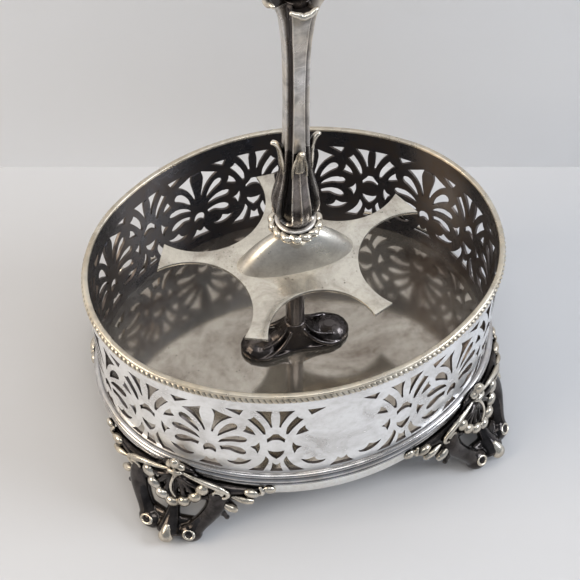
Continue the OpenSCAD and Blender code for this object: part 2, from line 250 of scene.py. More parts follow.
def melt(obj, voxel, smooth):
    """Fuses overlapping shapes into one cast skin, voxel mm fine and smoothed smooth times."""
    m = obj.modifiers.new("skin", "REMESH")
    m.mode = "VOXEL"
    m.voxel_size = voxel * MM
    m = obj.modifiers.new("soften", "SMOOTH")
    m.iterations = smooth
    m.factor = 0.5
    apply_modifiers(obj)
    obj.data.shade_smooth()


def bevel(obj, width, segments=1):
    """Rounds an object's sharp edges."""
    m = obj.modifiers.new("bevel", "BEVEL")
    m.width = width * MM
    m.segments = segments
    m.limit_method = "ANGLE"
    m.angle_limit = math.radians(50)
    apply_modifiers(obj)


def place(obj, body, slot, *nodes):
    """Says which body a piece rides on and the CAD nodes that it stands for, which it hides; slot is not
    used.
    """
    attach(obj, body)
    if nodes:
        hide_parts(*nodes)
    return obj


# ---------------------------------------------------------------- materials

MATERIALS = {}


class Nodes:
    """Short calls for building a material's node tree."""

    def __init__(self, name):
        MATERIALS[name] = material = bpy.data.materials.new(name)
        material.use_nodes = True
        self.tree = material.node_tree
        self.shader = self.tree.nodes["Principled BSDF"]
        self.place = self.add("ShaderNodeTexCoord").outputs["Object"]

    def add(self, kind, **values):
        node = self.tree.nodes.new(kind)
        for key, value in values.items():
            setattr(node, key, value)
        return node

    def link(self, source, target):
        self.tree.links.new(source, target)

    def noise(self, scale, detail, rough, distortion=0.0, stretch=None):
        """Noise with features about 1/scale metres wide."""
        place = self.place
        if stretch:
            mapping = self.add("ShaderNodeMapping")
            mapping.inputs["Scale"].default_value = stretch
            self.link(place, mapping.inputs["Vector"])
            place = mapping.outputs["Vector"]
        node = self.add("ShaderNodeTexNoise")
        node.inputs["Scale"].default_value = scale
        node.inputs["Detail"].default_value = detail
        node.inputs["Roughness"].default_value = rough
        node.inputs["Distortion"].default_value = distortion
        self.link(place, node.inputs["Vector"])
        return node.outputs["Fac"]

    def ramp(self, source, *stops):
        """A colour ramp; each stop is a position and a grey value or a colour."""
        node = self.add("ShaderNodeValToRGB")
        while len(node.color_ramp.elements) < len(stops):
            node.color_ramp.elements.new(1.0)
        for element, (position, value) in zip(node.color_ramp.elements, stops):
            element.position = position
            colour = (value,) * 3 if isinstance(value, (int, float)) else value
            element.color = (*colour, 1)
        self.link(source, node.inputs["Fac"])
        return node.outputs["Color"]

    def feed(self, socket, value):
        """Gives an input another node's output, a number or a colour."""
        if isinstance(value, bpy.types.NodeSocket):
            self.link(value, socket)
        elif isinstance(value, (int, float)):
            socket.default_value = value
        else:
            socket.default_value = (*value, 1)

    def mix(self, factor, a, b, blend="MIX"):
        node = self.add("ShaderNodeMix", data_type="RGBA", blend_type=blend)
        for index, value in ((0, factor), (6, a), (7, b)):
            self.feed(node.inputs[index], value)
        return node.outputs[2]

    def maths(self, operation, a, b):
        node = self.add("ShaderNodeMath", operation=operation)
        self.feed(node.inputs[0], a)
        self.feed(node.inputs[1], b)
        return node.outputs[0]

    def bump(self, height, strength, distance):
        node = self.add("ShaderNodeBump")
        node.inputs["Strength"].default_value = strength
        node.inputs["Distance"].default_value = distance * MM
        self.link(height, node.inputs["Height"])
        self.link(node.outputs["Normal"], self.shader.inputs["Normal"])

    def finish(self, colour, roughness, metallic=0.86):
        self.link(colour, self.shader.inputs["Base Color"])
        self.link(roughness, self.shader.inputs["Roughness"])
        self.shader.inputs["Metallic"].default_value = metallic


# Colour of rubbed rims: partly polish, partly painted highlight.
POLISH_AND_HIGHLIGHT = (0.88, 0.83, 0.77)
PIT = (0.05, 0.045, 0.04)


def cast_silver(name, bright, dark, wear_and_highlight, rough, reach=3.0, spot=110):
    """Cast plate: bright on ridges and in rubbed patches, partly polish wear and partly painted highlight;
    dark in the hollows, which are looked for reach mm round, partly tarnish and partly painted shade.
    """
    n = Nodes(name)
    # Hollows found by ambient occlusion are darkened: partly tarnish, partly painted shade.
    shade_node = n.add("ShaderNodeAmbientOcclusion", samples=8)
    shade_node.inputs["Distance"].default_value = reach * MM
    clear_of_tarnish_and_shade = n.ramp(shade_node.outputs["AO"], (0.62 - 0.3 * wear_and_highlight, 0.0), (1.0 - 0.3 * wear_and_highlight, 1.0))
    # Ridges found by pointiness and rubbed patches turn bright: partly polish wear, partly painted highlight.
    point = n.add("ShaderNodeNewGeometry").outputs["Pointiness"]
    ridge_polish_and_highlight = n.ramp(point, (0.485, 0.0), (0.57 - 0.05 * wear_and_highlight, 1.0))
    patches = n.ramp(n.noise(spot, 5, 0.62, 0.5), (0.38, 0.0), (0.6, 1.0))
    rubbed_and_highlit = n.mix(0.45, ridge_polish_and_highlight, patches)
    shown = n.mix(1.0, clear_of_tarnish_and_shade, n.mix(wear_and_highlight, rubbed_and_highlit, (1, 1, 1)), "MULTIPLY")
    # Points marked deep by the rope and the flutes are darkened: painted shade in grooves and between
    # strands.
    shown = n.mix(n.add("ShaderNodeAttribute", attribute_name="groove_shade").outputs["Fac"], shown, (0, 0, 0))
    colour = n.mix(shown, dark, bright)
    # Rims and ribs marked by fluted() take the polish colour: partly polish wear, partly painted highlight
    # lines.
    edges = n.add("ShaderNodeAttribute", attribute_name="wear_and_highlight").outputs["Fac"]
    colour = n.mix(n.maths("MULTIPLY", edges, n.ramp(patches, (0.0, 0.5), (0.6, 1.0))), colour, POLISH_AND_HIGHLIGHT)
    warm = n.ramp(n.noise(60, 3, 0.5), (0.35, (0.80, 0.68, 0.52)), (0.6, (0.98, 0.98, 1.0)))
    colour = n.mix(0.4, colour, warm, "MULTIPLY")
    roughness = n.ramp(n.noise(140, 4, 0.6), (0.3, rough * 0.7), (0.7, rough * 1.6))
    grain = n.maths("ADD", n.noise(350, 4, 0.6), n.maths("MULTIPLY", n.noise(900, 3, 0.6), 0.3))
    n.bump(grain, 0.2, 0.25)
    n.finish(colour, roughness)


def sheet_silver(name, bright, blotch, amount, rough, pits=0.0, size=60, wave=0.1, dull=0.14):
    """Rolled and polished plate with tarnish blotches, fine scratches and pits."""
    n = Nodes(name)
    big = n.ramp(n.noise(size, 6, 0.62, 0.8), (0.5 - amount * 0.2, 0.0), (0.78 - amount * 0.2, 1.0))
    fine = n.ramp(n.noise(size * 9, 5, 0.65), (0.45, 0.0), (0.75, 1.0))
    shown = n.mix(0.28, big, fine)
    colour = n.mix(shown, bright, blotch)
    scratches = n.noise(260, 4, 0.7, 0.2, stretch=(1, 9, 9))
    if pits:
        cells = n.add("ShaderNodeTexVoronoi")
        cells.inputs["Scale"].default_value = 420
        n.link(n.place, cells.inputs["Vector"])
        spots = n.ramp(cells.outputs["Distance"], (0.08, 1.0), (0.2, 0.0))
        where = n.ramp(n.noise(70, 4, 0.6), (0.52, 0.0), (0.62, 1.0))
        pitted = n.maths("MULTIPLY", n.maths("MULTIPLY", spots, where), pits)
        colour = n.mix(pitted, colour, PIT)
    polished = n.ramp(scratches, (0.3, rough * 0.8), (0.7, rough * 1.25))
    roughness = n.mix(shown, polished, (rough * 2.0,) * 3)
    height = n.maths("ADD", n.noise(26, 2, 0.4), n.maths("MULTIPLY", scratches, 0.02))
    n.bump(height, wave, 1.0)
    n.finish(colour, roughness, 1 - dull)


sheet_silver("wall_silver", (0.92, 0.92, 0.92), (0.50, 0.48, 0.46), 0.3, 0.17, wave=0.22, dull=0.36)
sheet_silver("wall_inside", (0.062, 0.064, 0.078), (0.085, 0.064, 0.052), 0.3, 0.26, size=45, wave=0.2)
sheet_silver("hole_edge", (0.14, 0.12, 0.11), (0.05, 0.04, 0.035), 0.5, 0.35, size=200)
cast_silver("rim_silver", (0.74, 0.68, 0.57), (0.03, 0.024, 0.02), 0.5, 0.28, 1.6, spot=160)
cast_silver("moulding_silver", (0.66, 0.65, 0.65), (0.04, 0.034, 0.032), 0.45, 0.16, 1.8)
sheet_silver("skirt_silver", (0.96, 0.95, 0.92), (0.62, 0.56, 0.49), 0.12, 0.38, dull=0.5)
sheet_silver("tray_silver", (0.64, 0.59, 0.51), (0.15, 0.105, 0.078), 0.55, 0.075, 0.5, size=26, wave=0.04)
sheet_silver("plate_silver", (0.80, 0.755, 0.66), (0.34, 0.30, 0.25), 0.42, 0.15, 0.9, size=75,
             wave=0.06, dull=0.24)
sheet_silver("boss_silver", (0.78, 0.74, 0.66), (0.34, 0.30, 0.26), 0.5, 0.26, 0.6)
cast_silver("foot_silver", (0.125, 0.112, 0.108), (0.008, 0.007, 0.007), 0.05, 0.11, spot=150)
# A bright copy of the dark cast silver for raised ornament: partly polish, partly painted highlight.
cast_silver("ornament_silver", (0.90, 0.84, 0.73), (0.02, 0.016, 0.014), 0.3, 0.2, 2.6, spot=180)
cast_silver("pillar_silver", (0.20, 0.178, 0.172), (0.016, 0.012, 0.011), 0.4, 0.19, 4.0)
cast_silver("handle_silver", (0.98, 0.95, 0.91), (0.09, 0.08, 0.078), 0.25, 0.3, 1.2, spot=130)
cast_silver("bulb_silver", (0.42, 0.38, 0.365), (0.014, 0.012, 0.012), 0.12, 0.2, 2.4)
cast_silver("nut_brass", (0.60, 0.44, 0.22), (0.10, 0.07, 0.04), 0.6, 0.35)
cast_silver("bush_brass", (0.66, 0.50, 0.26), (0.14, 0.10, 0.05), 0.6, 0.3)

SLOTS = {entry["node"]: entry["material_slot"] for entry in frame["record"]["subparts"]}
for node, cad in frame["nodes"].items():
    cad.data.materials.clear()
    cad.data.materials.append(MATERIALS[SLOTS[node]])

# ---------------------------------------------------------------- pierced gallery

# Hole outlines of one pattern repeat: x along the wall and y up from the palmette's hub.
# A third value of 1 marks a corner; the outline runs smoothly between corners.
SURROUND = [
    [(17.6, -12.6, 1), (14.8, -13.3), (11.8, -12.0, 1), (10.9, -14.2), (9.2, -15.5), (7.1, -15.3, 1),
     (7.8, -16.7), (10.6, -17.8), (13.7, -17.1), (16.1, -15.2)],
    [(15.9, 13.6, 1), (15.6, 11.2), (14.4, 9.0, 1), (17.0, 7.6), (19.6, 6.7, 1), (18.2, 10.6)],
    [(20.9, 1.3, 1), (19.4, -1.2), (17.1, -2.5, 1), (19.1, -4.6), (20.1, -7.7, 1), (21.1, -3.2)],
    [(7.5, 24.8, 1), (15.0, 24.8, 1), (14.2, 22.8), (13.4, 20.8, 1), (10.4, 22.8)],
]
PETALS = [
    [(2.3, 22.8, 1), (3.1, 18.8), (2.9, 15.9), (2.3, 12.0), (1.6, 8.2), (1.3, 5.2), (1.9, 5.1),
     (2.6, 7.6), (3.9, 10.9), (5.9, 14.2), (8.2, 16.7), (10.6, 18.6, 1), (6.4, 20.5)],
    [(3.8, 2.4, 1), (4.7, 6.6), (6.5, 10.4), (8.7, 13.3), (10.9, 14.1), (12.3, 12.5), (11.8, 10.0),
     (9.6, 8.2), (7.0, 5.8), (5.0, 3.6)],
    [(3.7, -2.3, 1), (5.3, 0.7), (7.7, 2.9), (10.3, 4.3), (13.2, 4.8), (15.3, 4.0), (15.9, 2.4),
     (15.0, 0.7), (12.8, 0.1), (9.7, 0.0), (6.4, -1.0)],
    [(4.3, -4.9, 1), (7.1, -3.7), (10.3, -3.3), (13.5, -4.3), (15.3, -6.7), (15.0, -8.6), (13.4, -9.2),
     (11.0, -8.4), (8.4, -7.0), (6.2, -7.2), (5.0, -7.6, 1)],
]
LYRE = [
    [(1.3, 24.8, 1), (1.8, 20.9), (1.7, 16.7), (1.4, 13.0), (2.0, 12.8), (2.6, 15.1), (3.9, 18.4),
     (5.5, 21.6), (7.8, 24.8, 1)],
    [(8.6, 20.6, 1), (9.6, 19.1), (11.2, 18.2, 1), (9.2, 15.3), (7.0, 11.7), (4.9, 7.4), (4.1, 7.5),
     (4.5, 12.3), (6.3, 16.8)],
    [(4.3, -9.4, 1), (3.1, -12.6), (3.8, -16.7), (5.6, -21.5, 1), (11.8, -21.5, 1), (9.6, -19.3),
     (7.1, -16.5), (5.2, -12.9)],
]
HUB_HOLE = [(0.0, -4.6), (1.8, -5.5), (2.8, -8.3), (2.4, -10.9, 1), (1.3, -9.8), (0.0, -9.4)]
BASE_HOLE = [(0.0, -17.4), (1.0, -16.8), (1.9, -15.6, 1), (3.0, -18.3), (5.4, -21.5, 1), (0.0, -21.5)]
LYRE_MIDDLE = [
    [(0.0, 7.9), (1.1, 7.8, 1), (2.0, 6.2), (3.8, 3.9, 1), (3.5, 1.2, 1), (1.9, 2.9), (0.0, 3.4)],
    [(0.0, -5.8), (1.8, -5.6), (3.4, -4.8, 1), (3.0, -7.2), (1.8, -9.6), (0.0, -11.7, 1)],
    [(0.0, -16.2), (0.8, -15.7), (1.6, -14.5, 1), (1.9, -18.0), (2.7, -21.5, 1), (0.0, -21.5)],
]


def whole(half):
    """Completes an outline that is given for one side of its own middle line."""
    left = [(-p[0], *p[1:]) for p in half[::-1] if p[0] > 0]
    return list(half) + left


def mirrored(outline):
    return [(-p[0], *p[1:]) for p in outline]


def rounded(outline):
    """The closed outline as a fine polygon, smooth except at its corners."""
    step = 0.75
    corners = [i for i, p in enumerate(outline) if len(p) > 2]
    pts = [np.array(p[:2], float) for p in outline]
    out = []
    for a, b in zip(corners, corners[1:] + [corners[0] + len(pts)]):
        run = [pts[i % len(pts)] for i in range(a, b + 1)]
        if len(run) == 2:
            out.append(run[0][None, :])
        else:
            out.append(smooth_curve(run, step)[:-1])
    return np.vstack(out)


def pattern(sides, middles):
    """Fine hole outlines: sides are also mirrored, and middles are completed across the middle line."""
    return [rounded(h) for h in sides + [mirrored(h) for h in sides] + [whole(h) for h in middles]]


def flat_sheet(name, outlines):
    """A flat mesh inside the first outline with the others cut out of it."""
    curve = bpy.data.curves.new(name, "CURVE")
    curve.dimensions = "2D"
    curve.fill_mode = "BOTH"
    for outline in outlines:
        spline = curve.splines.new("POLY")
        spline.points.add(len(outline) - 1)
        for point, (x, y) in zip(spline.points, outline):
            point.co = (x, y, 0, 1)
        spline.use_cyclic_u = True
    obj = put(name, curve)
    dg = bpy.context.evaluated_depsgraph_get()
    mesh = bpy.data.meshes.new_from_object(obj.evaluated_get(dg))
    bpy.data.objects.remove(obj)
    return mesh


def make_gallery():
    """The wall: a flat sheet with all its holes, sliced finely and wrapped round the oval.

    The repeat at the front has no petals, so that its palmette is a plain cartouche.
    """
    half = PERIMETER / 2
    end = half + 8.0
    low_y, high_y = FLOOR_Z - HUB_Z, WALL_TOP - HUB_Z
    outlines = [[(-end, low_y), (end, low_y), (end, high_y), (-end, high_y)]]
    each_side = REPEATS // 2
    for k in range(-each_side - 1, each_side + 1):
        for hole in pattern(LYRE, LYRE_MIDDLE):
            outlines.append(hole + [(k + 0.5) * REPEAT, 0])
    for k in range(-each_side, each_side + 1):
        sides, middles = (SURROUND + PETALS, [BASE_HOLE, HUB_HOLE]) if k else (SURROUND, [BASE_HOLE])
        for hole in pattern(sides, middles):
            outlines.append(hole + [k * REPEAT, 0])
    flat = flat_sheet("gallery_flat", [o for o in outlines if abs(np.mean(np.asarray(o)[:, 0])) < end - 1])
    b = bmesh.new()
    b.from_mesh(flat)
    slices = 22
    last = REPEATS * slices // 2
    for i in range(-last, last + 1):
        geometry = b.verts[:] + b.edges[:] + b.faces[:]
        bmesh.ops.bisect_plane(b, geom=geometry, plane_co=(i * (REPEAT / slices), 0, 0), plane_no=(1, 0, 0),
                               dist=1e-4, clear_outer=i == last, clear_inner=i == -last)
    s = np.array([v.co.x for v in b.verts])
    x, y = on_oval(np.clip(s, -half + 1e-6, half - 1e-6), WALL)
    for v, px, py in zip(b.verts, x, y):
        v.co = Vector((px, py, v.co.y + HUB_Z)) * MM
    bmesh.ops.remove_doubles(b, verts=b.verts, dist=1e-5)
    bmesh.ops.recalc_face_normals(b, faces=b.faces)
    mesh = bpy.data.meshes.new("pierced_gallery")
    b.to_mesh(mesh)
    b.free()
    for key in ("wall_silver", "wall_inside", "hole_edge"):
        mesh.materials.append(MATERIALS[key])
    obj = put("pierced_gallery", mesh)
    if sum(f.normal.x * f.center.x for f in mesh.polygons) < 0:
        mesh.flip_normals()
    m = obj.modifiers.new("thickness", "SOLIDIFY")
    m.thickness = WALL * MM
    m.offset = -1
    m.material_offset = 1
    m.material_offset_rim = 2
    apply_modifiers(obj)
    bevel(obj, 0.12)
    shade(obj, 35)
    return place(obj, "base", "wall_silver", "gallery")


# ---------------------------------------------------------------- bands round the oval


def oval_sweep(name, profile, stations, material, sharp):
    """Carries a closed (out, height) profile round the oval."""
    s = np.linspace(0, PERIMETER, stations, endpoint=False)
    points = []
    for value in s:
        for d, z in profile:
            x, y = on_oval(value, d)
            points.append((float(x), float(y), z))
    return add_mesh(name, points, grid(stations, len(profile), True), material, sharp)


def make_rim():
    """A flat strip with softly rounded corners along the top of the wall."""
    inner, outer = -0.3, 2.0
    in_edge, out_edge = 0.35, 0.45
    profile = [(inner, WALL_TOP), (inner, RIM_Z - in_edge), (inner + in_edge, RIM_Z),
               (outer - out_edge, RIM_Z), (outer, RIM_Z - out_edge), (outer, WALL_TOP)]
    obj = oval_sweep("rim_strip", profile, 360, MATERIALS["rim_silver"], 60)
    return place(obj, "base", "rim_silver", "rim_binding")


def make_rope():
    """A half-round bead carved as a twisted rope."""
    z1 = high("rim_rope").z
    z0 = max(z1 - 3.3, low("rim_rope").z)
    twists, per_twist, across = 214, 9, 12
    root = WALL + 0.15
    reach = high("rim_rope").x - OVAL_A - root
    stations = twists * per_twist
    t = np.linspace(0, 1, across)
    swell = np.sin(math.pi * t) ** 0.7
    points, groove_shade = [], []
    for i in range(stations):
        phase = (i / per_twist + 0.85 * t) % 1.0
        strand = np.sqrt(np.maximum(0.0, 1 - (2 * phase - 1) ** 2))
        d = root + reach * swell * (0.25 + 0.75 * strand)
        x, y = on_oval(PERIMETER * i / stations, np.append(d, WALL))
        points.append(np.column_stack([x, y, np.append(z0 + (z1 - z0) * t, (z0 + z1) / 2)]))
        # Between the strands the bead is painted dark: painted shade.
        groove_shade.append(np.append(1.2 - 1.7 * strand, 1))
    faces = grid(stations, across + 1, True)
    obj = add_mesh("rope_bead", np.vstack(points), faces, MATERIALS["rim_silver"], 80)
    mark(obj, "groove_shade", np.concatenate(groove_shade))
    return place(obj, "base", "rim_silver", "rim_rope")


def make_moulding():
    """Three reeds: a broad one between two narrow ones."""
    z0, z1 = span("lower_moulding")
    root = WALL + 1.0
    reach = high("lower_moulding").x - OVAL_A - root
    profile = [(WALL, z0)]
    for start, end, share in ((0.0, 0.3, 0.8), (0.3, 0.72, 1.0), (0.72, 1.0, 0.72)):
        for t in np.linspace(0.02, 0.98, 9):
            bulge = math.sin(math.pi * t) ** 0.6
            profile.append((root + reach * share * bulge, z0 + (z1 - z0) * (start + (end - start) * t)))
    profile.append((WALL, z1))
    obj = oval_sweep("reeded_moulding", profile, 300, MATERIALS["moulding_silver"], 50)
    return place(obj, "base", "moulding_silver", "lower_moulding")


def make_skirt():
    """A plain band under the moulding, with its lower edge broken."""
    z0, z1 = span("skirt_band")
    out = high("skirt_band").x - OVAL_A
    profile = [(WALL, z0 + 0.3), (WALL, z1), (out, z1), (out, z0 + 0.35), (out - 0.35, z0), (WALL + 0.3, z0)]
    obj = oval_sweep("skirt", profile, 300, MATERIALS["skirt_silver"], 60)
    return place(obj, "base", "skirt_silver", "skirt_band")


def make_tray():
    """The tray floor: a disc with a little hollow and a hole for the rod."""
    rings, spokes = 26, 240
    top, bottom = FLOOR_Z, low("tray_floor").z
    hole, hollow = 3.25, 0.25
    s = np.linspace(0, PERIMETER, spokes, endpoint=False)
    edge_x, edge_y = on_oval(s, WALL)
    angle = np.arctan2(edge_y, edge_x)
    points = []
    for z in (top, bottom):
        for i in range(rings):
            t = i / (rings - 1)
            x = hole * np.cos(angle) * (1 - t) + edge_x * t
            y = hole * np.sin(angle) * (1 - t) + edge_y * t
            sag = hollow * math.sin(math.pi * t) if z == top else 0.0
            points += [(a, c, z - sag) for a, c in zip(x, y)]
    n = rings * spokes
    faces = grid(rings, spokes) + grid(rings, spokes, start=n)
    faces += ribbon(0, n, spokes) + ribbon(n - spokes, 2 * n - spokes, spokes)
    obj = add_mesh("tray", points, faces, MATERIALS["tray_silver"], 50)
    return place(obj, "base", "tray_silver", "tray_floor")


# ---------------------------------------------------------------- bottle plate


# The right half's arm corners from the front to the back, and the cut-outs between: x, y and radius.
ARM_TIPS = [(22.9, -39.0), (31.0, -36.0), (58.0, 9.5), (53.3, 20.0), (4.4, 47.5)]
CUT_OUTS = [(0.0, -43.0, 23.0), (50.3, -16.7, 26.4), (31.0, 40.0, 28.0)]


def arc(centre, start, end, n):
    """Points on the short way round a cut-out, from near start to near end."""
    cx, cy, r = centre
    a = math.atan2(start[1] - cy, start[0] - cx)
    b = math.atan2(end[1] - cy, end[0] - cx)
    turn = (b - a + math.pi) % (2 * math.pi) - math.pi
    return [(cx + r * math.cos(a + turn * t), cy + r * math.sin(a + turn * t)) for t in np.linspace(0, 1, n)]


def make_plate():
    """The five-armed sheet, cut out for the bottles at the front, the sides and the back."""
    thick = PLATE_Z - low("bottle_plate").z
    front, side, back = CUT_OUTS
    middle, *right = arc(front, (0, 0), ARM_TIPS[0], 18)
    right += arc(side, ARM_TIPS[1], ARM_TIPS[2], 40)
    right += arc(back, ARM_TIPS[3], ARM_TIPS[4], 40)
    outline = right + [(-x, y) for x, y in right[::-1]] + [middle]
    b = bmesh.new()
    b.from_mesh(flat_sheet("plate_flat", [outline]))
    bmesh.ops.recalc_face_normals(b, faces=b.faces)
    extruded = bmesh.ops.extrude_face_region(b, geom=b.faces[:])
    for v in [e for e in extruded["geom"] if isinstance(e, bmesh.types.BMVert)]:
        v.co.z += thick
    for v in b.verts:
        v.co = (v.co + Vector((0, 0, PLATE_Z - thick))) * MM
    bmesh.ops.recalc_face_normals(b, faces=b.faces)
    sheet = bpy.data.meshes.new("five_arm_plate")
    b.to_mesh(sheet)
    b.free()
    sheet.materials.append(MATERIALS["plate_silver"])
    obj = put("five_arm_plate", sheet)
    bevel(obj, 0.3, 2)
    shade(obj, 40)
    return place(obj, "plate", "plate_silver", "bottle_plate")


def make_boss():
    """A long cushion-shaped boss that spreads into the plate, with a neck under the collar."""
    half_x, half_y, _ = high("plate_boss")
    foot = PLATE_Z - 0.05
    height = high("plate_boss").z - PLATE_Z
    bore, neck_r, neck_flare, dome = 3.3, 5.4, 0.9, 18.4
    corner, slope = 2.2, 1.9  # powers: above 2 the outline is squarer and the top flatter than an ellipse's
    rings, spokes = 40, 96
    points = []
    for i in range(rings):
        t = 1 - i / (rings - 1)
        for a in spoke_angles(spokes):
            reach = abs(math.cos(a) / half_x) ** corner + abs(math.sin(a) / half_y) ** corner
            edge = reach ** (-1 / corner)
            r = bore + (edge - bore) * t
            z = dome * max(0.0, 1 - (r / edge) ** slope)
            neck = (height - 0.2) * max(0.0, 1 - max(0.0, r - neck_r) / neck_flare)
            points.append((r * math.cos(a), r * math.sin(a), foot + max(z, min(neck, height))))
    points += [(bore * math.cos(a), bore * math.sin(a), foot) for a in spoke_angles(spokes)]
    n = rings * spokes
    faces = grid(rings, spokes) + ribbon(n - spokes, n, spokes) + ribbon(0, n, spokes)
    obj = add_mesh("oval_boss", points, faces, MATERIALS["boss_silver"], 50)
    return place(obj, "plate", "plate_silver", "plate_boss")


# ---------------------------------------------------------------- pillar


def make_pedestal():
    """Two spoon-shaped lobes that sweep up to the neck."""
    z0, z1 = span("pedestal")
    rise = z1 - z0
    lobe = (9.2, 8.5, 5.6)
    shapes = [ball((m * (high("pedestal").x - lobe[0]), 0, z0 + 1.6), lobe) for m in (-1, 1)]
    rings = ((0.0, 19.5, 6.9), (0.12, 18.2, 6.7), (0.26, 15.0, 6.3), (0.4, 11.6, 5.9), (0.55, 8.7, 5.5),
             (0.7, 6.7, 5.2), (0.85, 5.3, 4.9), (1.0, 4.7, 4.7))
    spokes = 48
    flare = []
    for t, half_x, half_y in rings:
        flare += [(half_x * math.cos(a), half_y * math.sin(a), z0 + rise * t) for a in spoke_angles(spokes)]
    flare += [(0, 0, z0), (0, 0, z1)]
    shapes.append((flare, grid(len(rings), spokes) + fans(len(rings), spokes)))
    for side in (-1, 1):
        rim = [(-22, 5.2), (-16, 7.6), (-9, 7.3), (0, 6.2), (9, 7.3), (16, 7.6), (22, 5.2)]
        shapes.append(tube([(x, side * y, z0 + 1.0) for x, y in rim], [1.1] * len(rim), 10))
        for m in (-1, 1):
            fold = [(3.0, 4.6, 12.5), (6.2, 6.2, 7.6), (10.2, 7.6, 4.4), (15.0, 8.6, 2.7), (20.0, 7.6, 2.0)]
            shapes.append(tube([(m * x, side * y, z0 + z) for x, y, z in fold],
                               [0.6, 0.9, 1.0, 1.0, 0.7], 10))
            inner = [(3.8, 2.6, 14.5), (7.0, 4.0, 9.6), (11.2, 5.2, 7.2), (16.0, 5.6, 6.4)]
            shapes.append(tube([(m * x, side * y, z0 + z) for x, y, z in inner], [0.5, 0.8, 0.8, 0.5], 10))
    points, faces = joined(shapes)
    points[:, 2] = np.maximum(points[:, 2], z0 + 0.05)
    obj = add_mesh("pillar_foot", points, faces, MATERIALS["pillar_silver"])
    melt(obj, 0.4, 6)
    clamp_floor(obj, z0)
    return place(obj, "base", "pillar_silver", "pedestal")


def clamp_floor(obj, z):
    """Keeps a remeshed piece from reaching below the face that it stands on."""
    for v in obj.data.vertices:
        v.co.z = max(v.co.z, z * MM)


def turned(name, profile, material, spokes, sharp=40):
    """A turned piece from a list of (radius, height)."""
    points = [(r * math.cos(a), r * math.sin(a), z) for r, z in profile for a in spoke_angles(spokes)]
    return add_mesh(name, points, grid(len(profile), spokes, True), material, sharp)


def make_rod():
    """The pillar rod, with a screw thread above the plate and below the tray."""
    z0, z1 = span("pillar_rod")
    neck, shoulder = high("pedestal").z, low("bottle_plate").z
    r_thread, r_rod = 3.1, 4.2
    pitch, depth, chamfer, axis = 1.27, 0.45, 0.4, 0.01

    def thread(start, end):
        turns = []
        for z in np.arange(start, end - pitch, pitch):
            turns += [(r_thread - depth, z), (r_thread, z + pitch / 2)]
        return turns + [(r_thread - depth, end)]

    profile = [(axis, z0), (r_thread - chamfer, z0)] + thread(z0 + chamfer, neck)
    profile += [(r_rod, neck), (r_rod, shoulder)] + thread(shoulder, z1 - chamfer)
    profile += [(r_thread - chamfer, z1), (axis, z1)]
    obj = turned("pillar", profile, MATERIALS["pillar_silver"], 48, 30)
    return place(obj, "base", "pillar_silver", "pillar_rod")


# ---------------------------------------------------------------- handle


def fluted(name, stations, material, groove_foot=None):
    """A four-sided length of the handle with a groove down each corner.

    Each station is a height, the faces' distance from the axis, how square the section is, the groove's depth
    and half width, and the height of the groove's rims and of the faces' middle ribs. The grooves end in a
    round at the height groove_foot.
    """
    spokes = 288
    keys = np.array(stations, float)
    heights = np.arange(keys[0, 0], keys[-1, 0], 0.3)
    heights = np.append(heights, keys[-1, 0])
    lines = [soft_interp(heights, keys[:, 0], keys[:, i]) for i in range(1, 7)]
    angle = np.linspace(0, 2 * math.pi, spokes, endpoint=False)
    off = (angle + math.pi / 4) % (math.pi / 2) - math.pi / 4
    points, wear_and_highlight, groove_shade = [], [], []
    for z, face, square, depth, half, rim, rib in zip(heights, *lines):
        radius = face * (1 + square * (1 / np.cos(off) - 1))
        from_corner = (math.pi / 4 - np.abs(off)) * radius
        if groove_foot is not None and z < groove_foot:
            from_corner = np.hypot(from_corner, groove_foot - z)
        groove = 1 / (1 + np.exp((from_corner - half) / 0.16))
        lip = np.exp(-((from_corner - half - 0.45) / 0.34) ** 2)
        middle = np.exp(-(off * face / 0.42) ** 2)
        radius = radius - depth * groove + rim * lip + rib * middle
        # Groove lips and face ribs get polish with painted highlight; the grooves get painted shade.
        wear_and_highlight += [1.6 * rim * lip + 0.9 * rib * middle]
        groove_shade += [groove * min(1.0, depth)]
        points.append(np.column_stack([radius * np.cos(angle), radius * np.sin(angle), np.full(spokes, z)]))
    # The inset end ring gets the full painted shade.
    points.append(points[-1] * (0.86, 0.86, 1) - (0, 0, 1.0))
    wear_and_highlight.append(np.zeros(spokes))
    groove_shade.append(np.ones(spokes))
    rows = len(heights) + 1
    points.append([(0, 0, heights[0]), (0, 0, heights[-1] - 2.0)])
    faces = grid(rows, spokes) + fans(rows, spokes)
    obj = add_mesh(name, np.vstack(points), faces, material, 70)
    mark(obj, "wear_and_highlight", np.append(np.concatenate(wear_and_highlight), [0, 0]))
    mark(obj, "groove_shade", np.append(np.concatenate(groove_shade), [1, 1]))
    return obj


def soft_interp(x, keys, values):
    """Smooth interpolation through key values."""
    curve = smooth_curve(np.column_stack([keys, values, np.zeros(len(keys))]), 0.5)
    return np.interp(x, curve[:, 0], curve[:, 1])


